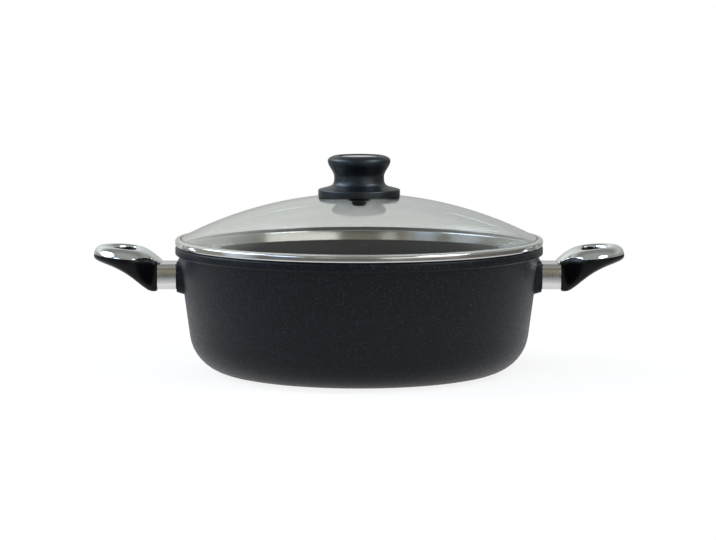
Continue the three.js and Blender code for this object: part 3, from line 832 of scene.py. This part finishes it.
def knob_disc():
    """The slightly crowned disc in the knob's top."""
    radius = DISC_DIAMETER / 2
    low = disc_seat + GAP
    edge = low + DISC_THICKNESS - DISC_CROWN
    brow = radius - 2 * DISC_EDGE
    side = filleted(
        (0, low, 0),
        (radius, low, DISC_EDGE),
        (radius, edge, DISC_EDGE),
        (brow, edge, 0),
    )
    crown = bezier((brow, edge), (radius / 2, edge + DISC_CROWN), (0, edge + DISC_CROWN))
    return turned("knob_cap", np.concatenate([side, crown[1:]]), KNOB_SEGMENTS, knob_height)


def knob_screw():
    """The screw from under the glass into the knob's insert."""
    shank = SCREW_SHANK / 2
    head = KNOB_SCREW_HEAD / 2
    under = -GLASS - PAD_THICKNESS - KNOB_WASHER_THICKNESS - 3 * GAP
    low = under - KNOB_SCREW_HEAD_HEIGHT
    tip = boss_bottom + KNOB_SCREW_REACH
    side = under - KNOB_SCREW_HEAD_HEIGHT / 3
    dome = bezier((0, low), (head, low), (head, side))
    rest = filleted(
        (head, side, 0),
        (head, under, SMALL_EDGE),
        (shank, under, 0),
        (shank, tip, SMALL_EDGE),
        (0, tip, 0),
    )
    made = turned("knob_fixing_screw", np.concatenate([dome, rest[1:]]), SMALL_SEGMENTS)
    recessed(made, low, -1)
    made.data.transform(Matrix.Translation((0, 0, knob_height * MM)))
    return made


# Finishes, with grain in waves per metre and relief in metres

# Most of a noise's values lie between these
NOISE_LOW = 0.3
NOISE_HIGH = 0.7

COATING_DARK = (0.0044, 0.0055, 0.0086, 1)
COATING_LIGHT = (0.0078, 0.0092, 0.0128, 1)
COATING_FLECK = (0.046, 0.052, 0.064, 1)
COATING_GLOSS = 0.2
COATING_MOTTLE = 160
FLECK_GRAIN = 800
FLECK_START = 0.56
FLECK_FULL = 0.74
COATING_SMEAR = 420
COATING_ROUGHNESS = (0.34, 0.46)
COATING_PORES = 1100
COATING_RELIEF = 0.00004

MOULDING_MOTTLE = 240
MOULDING_SMEAR = 600
MOULDING_UNEVEN = 0.08
MOULDING_GRAIN = 1900
MOULDING_RELIEF = 0.0000012

CHROME_COLOURS = ((0.80, 0.82, 0.80, 1), (0.86, 0.87, 0.86, 1))
CHROME_MOTTLE = 90
CHROME_SMEAR = 140
CHROME_ROUGHNESS = (0.03, 0.085)

STEEL_COLOURS = ((0.66, 0.65, 0.63, 1), (0.76, 0.755, 0.74, 1))
STEEL_ROUGHNESS = (0.10, 0.20)
STEEL_RELIEF = 0.000004
BUFFING_ALONG = 60
BUFFING_ACROSS = 4200

FASTENER_GRAIN = 900
FASTENER_ROUGHNESS = (0.24, 0.42)

RUBBER_COLOURS = ((0.095, 0.10, 0.085, 1), (0.125, 0.13, 0.11, 1))
RUBBER_GLOSS = 1.0
RUBBER_GRAIN = 700
RUBBER_ROUGHNESS = (0.30, 0.40)
RUBBER_RELIEF = 0.00004

BRASS_COLOURS = ((0.52, 0.36, 0.13, 1), (0.64, 0.46, 0.19, 1))
BRASS_LINES = (300, 300, 5000)
BRASS_ROUGHNESS = (0.22, 0.36)

GLASS_COLOURS = ((0.90, 0.915, 0.90, 1), (0.91, 0.925, 0.911, 1))
GLASS_INDEX = 1.5
GLASS_MOTTLE = 45
GLASS_SMEAR = 70
GLASS_ROUGHNESS = (0.0, 0.006)


def finish(name, **sockets):
    """A new material with constant values on its shader."""
    material = bpy.data.materials.new(name)
    material.use_nodes = True
    shader = material.node_tree.nodes["Principled BSDF"]
    for socket, value in sockets.items():
        shader.inputs[socket.replace("_", " ")].default_value = value
    return material, material.node_tree, shader


def add_node(tree, kind, **values):
    """A new node, with its settings and the values of its inputs."""
    node = tree.nodes.new(kind)
    for key, value in values.items():
        if key in node.inputs:
            node.inputs[key].default_value = value
        else:
            setattr(node, key, value)
    return node


def noise(tree, scale, detail, stretch=(1, 1, 1)):
    """Noise by the piece's own coordinates, with a scale per metre."""
    place = add_node(tree, "ShaderNodeTexCoord")
    mapping = add_node(tree, "ShaderNodeMapping", Scale=stretch)
    tree.links.new(place.outputs["Object"], mapping.inputs["Vector"])
    texture = add_node(tree, "ShaderNodeTexNoise", Scale=scale, Detail=detail)
    tree.links.new(mapping.outputs["Vector"], texture.inputs["Vector"])
    return texture.outputs["Fac"]


def ranged(tree, value, low, high, start=NOISE_LOW, end=NOISE_HIGH):
    """The value between start and end spread over low to high."""
    node = add_node(tree, "ShaderNodeMapRange")
    node.inputs["From Min"].default_value = start
    node.inputs["From Max"].default_value = end
    node.inputs["To Min"].default_value = low
    node.inputs["To Max"].default_value = high
    tree.links.new(value, node.inputs["Value"])
    return node.outputs["Result"]


def blended(tree, share, first, second):
    """A colour between two colours or links."""
    node = add_node(tree, "ShaderNodeMix", data_type="RGBA")
    first_socket, second_socket = [socket for socket in node.inputs if socket.type == "RGBA"]
    tree.links.new(share, node.inputs["Factor"])
    for socket, colour in ((first_socket, first), (second_socket, second)):
        if isinstance(colour, tuple):
            socket.default_value = colour
        else:
            tree.links.new(colour, socket)
    return next(socket for socket in node.outputs if socket.type == "RGBA")


def coloured(tree, shader, grain, dark, light):
    """A base colour that wanders between two colours with a grain."""
    colour = blended(tree, ranged(tree, grain, 0, 1), dark, light)
    tree.links.new(colour, shader.inputs["Base Color"])


def roughened(tree, shader, grain, low, high):
    """A roughness that wanders between two values with a grain."""
    tree.links.new(ranged(tree, grain, low, high), shader.inputs["Roughness"])


def bumped(tree, shader, grain, depth):
    """Relief that follows a grain, with its depth in metres."""
    node = add_node(tree, "ShaderNodeBump", Distance=depth)
    tree.links.new(grain, node.inputs["Height"])
    tree.links.new(node.outputs["Normal"], shader.inputs["Normal"])


def coating():
    """Charcoal non-stick coating: fine light flecks over a mottled ground."""
    material, tree, shader = finish("coating", Specular_IOR_Level=COATING_GLOSS)
    mottle = ranged(tree, noise(tree, COATING_MOTTLE, detail=4), 0, 1)
    ground = blended(tree, mottle, COATING_DARK, COATING_LIGHT)
    flecks = ranged(tree, noise(tree, FLECK_GRAIN, detail=3), 0, 1, FLECK_START, FLECK_FULL)
    colour = blended(tree, flecks, ground, COATING_FLECK)
    tree.links.new(colour, shader.inputs["Base Color"])
    roughened(tree, shader, noise(tree, COATING_SMEAR, detail=3), *COATING_ROUGHNESS)
    bumped(tree, shader, noise(tree, COATING_PORES, detail=3), COATING_RELIEF)
    return material


def moulding(name, dark, light, gloss, smooth, sheen):
    """Satin black heat-resistant moulding with a fine grain."""
    material, tree, shader = finish(name, Specular_IOR_Level=gloss, Specular_Tint=sheen)
    coloured(tree, shader, noise(tree, MOULDING_MOTTLE, detail=3), dark, light)
    roughened(tree, shader, noise(tree, MOULDING_SMEAR, detail=2), smooth, smooth + MOULDING_UNEVEN)
    bumped(tree, shader, noise(tree, MOULDING_GRAIN, detail=2), MOULDING_RELIEF)
    return material


def chrome():
    """Mirror-bright plating with faint smears."""
    material, tree, shader = finish("chrome", Metallic=1.0)
    coloured(tree, shader, noise(tree, CHROME_MOTTLE, detail=2), *CHROME_COLOURS)
    roughened(tree, shader, noise(tree, CHROME_SMEAR, detail=4), *CHROME_ROUGHNESS)
    return material


def steel(name, stretch):
    """Polished stainless sheet with faint lines left by the buffing wheel."""
    material, tree, shader = finish(name, Metallic=1.0)
    lines = noise(tree, 1, detail=2, stretch=stretch)
    coloured(tree, shader, lines, *STEEL_COLOURS)
    roughened(tree, shader, lines, *STEEL_ROUGHNESS)
    bumped(tree, shader, lines, STEEL_RELIEF)
    return material


def fastener(name, dark, light):
    """Screws and washers with a slightly uneven skin."""
    material, tree, shader = finish(name, Metallic=1.0)
    grain = noise(tree, FASTENER_GRAIN, detail=3)
    coloured(tree, shader, grain, dark, light)
    roughened(tree, shader, grain, *FASTENER_ROUGHNESS)
    return material


def rubber():
    """Dark silicone rubber."""
    material, tree, shader = finish("rubber", Specular_IOR_Level=RUBBER_GLOSS)
    grain = noise(tree, RUBBER_GRAIN, detail=3)
    coloured(tree, shader, grain, *RUBBER_COLOURS)
    roughened(tree, shader, grain, *RUBBER_ROUGHNESS)
    bumped(tree, shader, grain, RUBBER_RELIEF)
    return material


def brass():
    """Turned brass."""
    material, tree, shader = finish("brass", Metallic=1.0)
    lines = noise(tree, 1, detail=2, stretch=BRASS_LINES)
    coloured(tree, shader, lines, *BRASS_COLOURS)
    roughened(tree, shader, lines, *BRASS_ROUGHNESS)
    return material


def glass():
    """Tempered glass with a slight grey-green tint and a trace of haze."""
    material, tree, shader = finish("glass", IOR=GLASS_INDEX, Transmission_Weight=1.0)
    coloured(tree, shader, noise(tree, GLASS_MOTTLE, detail=2), *GLASS_COLOURS)
    roughened(tree, shader, noise(tree, GLASS_SMEAR, detail=2), *GLASS_ROUGHNESS)
    return material


COATING = coating()
KNOB_FINISH = moulding(
    "knob_black",
    dark=(0.0010, 0.0020, 0.0044, 1),
    light=(0.0018, 0.0030, 0.0060, 1),
    gloss=0.72,
    smooth=0.34,
    sheen=(0.82, 0.93, 1.0, 1),
)
GRIP_FINISH = moulding(
    "grip_black",
    dark=(0.0030, 0.0032, 0.0037, 1),
    light=(0.0044, 0.0047, 0.0054, 1),
    gloss=0.17,
    smooth=0.28,
    sheen=(1.0, 1.0, 1.0, 1),
)
CHROME = chrome()
BAND_STEEL = steel("band_steel", (BUFFING_ALONG, BUFFING_ALONG, BUFFING_ACROSS))
FERRULE_STEEL = steel("ferrule_steel", (BUFFING_ACROSS, BUFFING_ALONG, BUFFING_ALONG))
FASTENER = fastener("fastener_steel", dark=(0.42, 0.42, 0.42, 1), light=(0.58, 0.58, 0.57, 1))
BLACK_STEEL = fastener("black_steel", dark=(0.016, 0.018, 0.022, 1), light=(0.030, 0.033, 0.038, 1))
RUBBER = rubber()
BRASS = brass()
GLASS_FINISH = glass()

# Assembly

TURNS = {"right": 0, "left": math.pi}

pot = vessel()
combine(pot, "UNION", *[lug(turn) for turn in TURNS.values()])
fit(pot, "pot", "pot_body", COATING)

for side, turn in TURNS.items():
    parts = [
        (ferrule(side), "ferrule", "polished_steel", FERRULE_STEEL),
        (grip(side), "grip", "black_moulding", GRIP_FINISH),
        (trim(side), "trim", "bright_trim", CHROME),
        (handle_screw(side), "screw", "fastener_steel", FASTENER),
        (handle_washer(side), "washer", "fastener_steel", FASTENER),
    ]
    for made, kind, slot, material in parts:
        turn_to_handle(made, turn)
        fit(made, "pot", f"{side}_handle_{kind}", material)

screw_hole = SCREW_SHANK / 2 + GAP
pad = PAD_DIAMETER / 2
pad_sag = DOME_RADIUS - math.sqrt(DOME_RADIUS**2 - pad**2)
lower_top = -GLASS - GAP - pad_sag
washer_top = lower_top - PAD_THICKNESS - GAP + pad_sag
washer_low = washer_top - KNOB_WASHER_THICKNESS
insert_top = boss_bottom + INSERT_LENGTH
insert_rim = INSERT_DIAMETER / 2
washer_rim = KNOB_WASHER / 2
rings = [
    ("knob_gasket_upper", "knob_seal_upper", "seal_rubber", RUBBER, pad, GAP, GAP + PAD_THICKNESS),
    ("knob_gasket_lower", "knob_seal_lower", "seal_rubber", RUBBER, pad, washer_top + GAP, lower_top),
    ("knob_fixing_washer", "knob_washer", "black_steel", BLACK_STEEL, washer_rim, washer_low, washer_top),
    ("knob_thread_insert", "knob_insert", "insert_brass", BRASS, insert_rim, boss_bottom, insert_top),
]
for name, node, slot, material, outer, low, high in rings:
    made = flat_ring(name, screw_hole, outer, low, high, knob_height)
    fit(made, "lid", node, material)

fit(lid_glass(), "lid", "lid_glass", GLASS_FINISH)
fit(lid_band(), "lid", "lid_band", BAND_STEEL)
fit(lid_seal(), "lid", "lid_band_seal", RUBBER)
fit(knob_body(), "lid", "lid_knob", KNOB_FINISH)
fit(knob_disc(), "lid", "knob_disc", CHROME)
fit(knob_screw(), "lid", "knob_screw", BLACK_STEEL)

# Studio, in metres

# Camera: the picture's width in pixels, a pixel's size at the pot's axis, and the offset in pixels
IMAGE_WIDTH = 716
PIXEL = 0.000796
OFF_CENTRE = -1.1
CAMERA_DISTANCE = 2.3
CAMERA_RISE = math.radians(6.1)
CAMERA_TARGET = Vector((0, 0, 0.0799))

# Floor: how bright it is where it is seen or mirrored, and the distances over which that changes; where
# it is mirrored, its glow is painted light with a painted shade close to the pot
FLOOR_RADIUS = 0.72
FLOOR_DROP = 0.0003
FLOOR_COLOUR = (0.18, 0.18, 0.18, 1)
FLOOR_SEEN = 0.86
# Painted shade: the mirrored floor is a little darker close to the pot
PAINTED_FLOOR_SHADE = 0.95
PAINTED_SHADE_EDGE = (0.12, 0.20)
# Painted light: the mirrored floor glows brighter near the pot and fades further out
PAINTED_GLOW_NEAR = 0.78
PAINTED_GLOW_FAR = 0.18
PAINTED_GLOW_FADE = (0.25, 0.55)

# Surroundings: the even light, and the white that the camera sees
AMBIENT = 0.45
WHITE = (1, 1, 1, 1)

# Room that shiny surfaces mirror
CEILING = (0.32, 0.335, 0.33, 1)
REAR_LEFT = (0.80, 0.84, 0.82, 1)
REAR_RIGHT = (0.48, 0.505, 0.495, 1)
DIM_REAR = (0.22, 0.226, 0.212, 1)
HAZE = (0.22, 0.20, 0.165, 1)
BELOW = (0.13, 0.125, 0.115, 1)
BACK_WALL = (0.55, 0.56, 0.55, 1)
LEFT_WINDOW = (0.72, 0.80, 0.92, 1)
WINDOW_POST = (0.28, 0.27, 0.23, 1)
CURTAIN = (0.30, 0.28, 0.24, 1)
WARM_PANEL = (0.90, 0.88, 0.82, 1)
FRONT_WALL = (0.29, 0.275, 0.21, 1)
BRIGHT_PANEL = (1.75, 1.75, 1.66, 1)

# Where the room's colours change along a direction's X, Y or Z, and how far the ceiling leans
REAR_SPREAD = (-0.3, 0.3)
REAR_TOP = (0.48, 0.70)
CEILING_BACK = (0.15, 0.45)
CEILING_LEAN = 0.4
CEILING_EDGE = (0.48, 0.62)
WALL_TOP = (0.28, 0.42)
FRONT_EDGE = (-0.1, -0.5)
RIGHT_EDGE = (0.3, 0.6)
HORIZON = (-0.05, 0.02)

# The room's walls, by the turn in degrees from the camera's side towards +X
FULL_TURN = 360
RAMP_MIDDLE = 0.5
WALLS = [
    (-180, BACK_WALL),
    (-150, (0.52, 0.52, 0.48, 1)),
    (-130, (0.34, 0.34, 0.30, 1)),
    (-94, (0.30, 0.29, 0.24, 1)),
    (-88, LEFT_WINDOW),
    (-69, LEFT_WINDOW),
    (-65, WINDOW_POST),
    (-57, WINDOW_POST),
    (-53, (0.66, 0.74, 0.84, 1)),
    (-41, (0.62, 0.70, 0.80, 1)),
    (-38, (0.35, 0.33, 0.28, 1)),
    (-35, (0.75, 0.72, 0.66, 1)),
    (-32, CURTAIN),
    (-27, CURTAIN),
    (-24, WARM_PANEL),
    (-18, WARM_PANEL),
    (-14, FRONT_WALL),
    (12, FRONT_WALL),
    (17, BRIGHT_PANEL),
    (64, BRIGHT_PANEL),
    (70, (0.30, 0.30, 0.26, 1)),
    (130, (0.30, 0.30, 0.27, 1)),
    (150, (0.40, 0.40, 0.38, 1)),
    (180, BACK_WALL),
]


def camera():
    """A long lens in front of the pot and slightly above it."""
    lens = bpy.data.cameras.new("camera")
    lens.lens = CAMERA_DISTANCE / PIXEL * lens.sensor_width / IMAGE_WIDTH
    lens.shift_x = OFF_CENTRE / IMAGE_WIDTH
    made = bpy.data.objects.new("camera", lens)
    back = Vector((0, -math.cos(CAMERA_RISE), math.sin(CAMERA_RISE)))
    made.location = CAMERA_TARGET + back * CAMERA_DISTANCE
    made.rotation_euler = (-back).to_track_quat("-Z", "Y").to_euler()
    scene.collection.objects.link(made)
    scene.camera = made


def softbox(name, place, size, power, colour):
    """A round lamp that points at the pot."""
    lamp = bpy.data.lights.new(name, "AREA")
    lamp.shape = "DISK"
    lamp.size = size
    lamp.energy = power
    lamp.color = colour
    made = bpy.data.objects.new(name, lamp)
    made.location = place
    aim = CAMERA_TARGET - Vector(place)
    made.rotation_euler = aim.to_track_quat("-Z", "Y").to_euler()
    scene.collection.objects.link(made)


def calculated(tree, operation, *values):
    """The result of arithmetic on links or numbers."""
    node = add_node(tree, "ShaderNodeMath", operation=operation)
    for socket, value in zip(node.inputs, values):
        if isinstance(value, (int, float)):
            socket.default_value = value
        else:
            tree.links.new(value, socket)
    return node.outputs[0]


def mixed(tree, share, first, second):
    """A node that mixes the outputs of two shader nodes."""
    node = add_node(tree, "ShaderNodeMixShader")
    tree.links.new(share, node.inputs["Fac"])
    for socket, shader in zip(node.inputs[1:], (first, second)):
        tree.links.new(shader.outputs[0], socket)
    return node


def seen_straight(tree, path):
    """1 for what the camera sees directly or through glass alone, otherwise 0."""
    bounces = calculated(tree, "ADD", path.outputs["Diffuse Depth"], path.outputs["Glossy Depth"])
    unbent = calculated(tree, "LESS_THAN", bounces, 1)
    through = calculated(tree, "MULTIPLY", path.outputs["Is Transmission Ray"], unbent)
    return calculated(tree, "MAXIMUM", path.outputs["Is Camera Ray"], through)


def seen_mirrored(tree, path):
    """1 for what a shiny surface mirrors, also when glass lies in front of it, otherwise 0."""
    bounced = calculated(tree, "GREATER_THAN", path.outputs["Glossy Depth"], 0)
    through = calculated(tree, "MULTIPLY", path.outputs["Is Transmission Ray"], bounced)
    return calculated(tree, "MAXIMUM", path.outputs["Is Glossy Ray"], through)


def floor_glow(tree):
    """The floor's own light: even where it is seen; where it is mirrored, painted light that is brighter
    near the pot and fades with distance, with a painted shade close to the pot.
    """
    path = add_node(tree, "ShaderNodeLightPath")
    seen = calculated(tree, "MULTIPLY", seen_straight(tree, path), FLOOR_SEEN)
    place = add_node(tree, "ShaderNodeTexCoord")
    distance = add_node(tree, "ShaderNodeVectorMath", operation="LENGTH")
    tree.links.new(place.outputs["Object"], distance.inputs[0])
    shade = ranged(tree, distance.outputs["Value"], PAINTED_FLOOR_SHADE, 1, *PAINTED_SHADE_EDGE)
    spread = ranged(tree, distance.outputs["Value"], PAINTED_GLOW_NEAR, PAINTED_GLOW_FAR, *PAINTED_GLOW_FADE)
    level = calculated(tree, "MULTIPLY", shade, spread)
    mirrored_level = calculated(tree, "MULTIPLY", seen_mirrored(tree, path), level)
    return calculated(tree, "MAXIMUM", seen, mirrored_level)


def floor():
    """A matt floor that takes the pot's shadow and adds its own glow."""
    made = turned("floor", [(0, 0), (FLOOR_RADIUS / MM, 0)], SMALL_SEGMENTS, -FLOOR_DROP / MM)
    material = bpy.data.materials.new("floor")
    material.use_nodes = True
    tree = material.node_tree
    tree.nodes.clear()
    matt = add_node(tree, "ShaderNodeBsdfDiffuse", Color=FLOOR_COLOUR)
    glow = add_node(tree, "ShaderNodeEmission")
    tree.links.new(floor_glow(tree), glow.inputs["Strength"])
    total = add_node(tree, "ShaderNodeAddShader")
    tree.links.new(matt.outputs[0], total.inputs[0])
    tree.links.new(glow.outputs[0], total.inputs[1])
    output = add_node(tree, "ShaderNodeOutputMaterial")
    tree.links.new(total.outputs[0], output.inputs["Surface"])
    made.data.materials.append(material)


def walls(tree, parts):
    """The walls' colours round the object."""
    towards_camera = calculated(tree, "MULTIPLY", parts.outputs["Y"], -1)
    turn = calculated(tree, "ARCTAN2", parts.outputs["X"], towards_camera)
    ramp = add_node(tree, "ShaderNodeValToRGB")
    stops = ramp.color_ramp.elements
    while len(stops) < len(WALLS):
        stops.new(RAMP_MIDDLE)
    for stop, (degrees, colour) in zip(stops, WALLS):
        stop.position = RAMP_MIDDLE + degrees / FULL_TURN
        stop.color = colour
    tree.links.new(ranged(tree, turn, 0, 1, -math.pi, math.pi), ramp.inputs["Fac"])
    return ramp.outputs["Color"]


def room(tree):
    """Walls under a ceiling that leans down at the rear, and a dark ground in front and on the right."""
    direction = add_node(tree, "ShaderNodeTexCoord")
    parts = add_node(tree, "ShaderNodeSeparateXYZ")
    tree.links.new(direction.outputs["Generated"], parts.inputs[0])
    right = parts.outputs["X"]
    away = parts.outputs["Y"]
    height = parts.outputs["Z"]
    lean = calculated(tree, "MULTIPLY_ADD", away, CEILING_LEAN, height)
    rear = blended(tree, ranged(tree, right, 0, 1, *REAR_SPREAD), REAR_LEFT, REAR_RIGHT)
    overhead = blended(tree, ranged(tree, height, 0, 1, *REAR_TOP), rear, DIM_REAR)
    ceiling = blended(tree, ranged(tree, away, 0, 1, *CEILING_BACK), CEILING, overhead)
    sides = blended(tree, ranged(tree, height, 0, 1, *WALL_TOP), walls(tree, parts), HAZE)
    inside = blended(tree, ranged(tree, lean, 0, 1, *CEILING_EDGE), sides, ceiling)
    front = ranged(tree, away, 0, 1, *FRONT_EDGE)
    dark_side = calculated(tree, "MAXIMUM", front, ranged(tree, right, 0, 1, *RIGHT_EDGE))
    below = calculated(tree, "MULTIPLY", ranged(tree, height, 1, 0, *HORIZON), dark_side)
    return blended(tree, below, inside, BELOW)


def surroundings():
    """White where it is seen, a room where it is mirrored, and an even light elsewhere."""
    world = bpy.data.worlds.new("studio")
    scene.world = world
    world.use_nodes = True
    tree = world.node_tree
    tree.nodes.clear()
    path = add_node(tree, "ShaderNodeLightPath")
    even = add_node(tree, "ShaderNodeBackground", Color=WHITE, Strength=AMBIENT)
    mirrored_room = add_node(tree, "ShaderNodeBackground", Strength=1.0)
    tree.links.new(room(tree), mirrored_room.inputs["Color"])
    white = add_node(tree, "ShaderNodeBackground", Color=WHITE, Strength=1.0)
    unseen = mixed(tree, seen_mirrored(tree, path), even, mirrored_room)
    total = mixed(tree, seen_straight(tree, path), unseen, white)
    output = add_node(tree, "ShaderNodeOutputWorld")
    tree.links.new(total.outputs[0], output.inputs["Surface"])


camera()
floor()
surroundings()
softbox("left_softbox", place=(-1.45, 0.25, 1.20), size=1.3, power=24.5, colour=(0.68, 0.82, 1.0))
softbox("left_window", place=(-1.30, -1.10, 1.00), size=0.8, power=5.5, colour=(0.48, 0.68, 1.0))
softbox("right_softbox", place=(1.14, -0.48, 1.42), size=0.9, power=14, colour=(0.82, 0.91, 1.0))
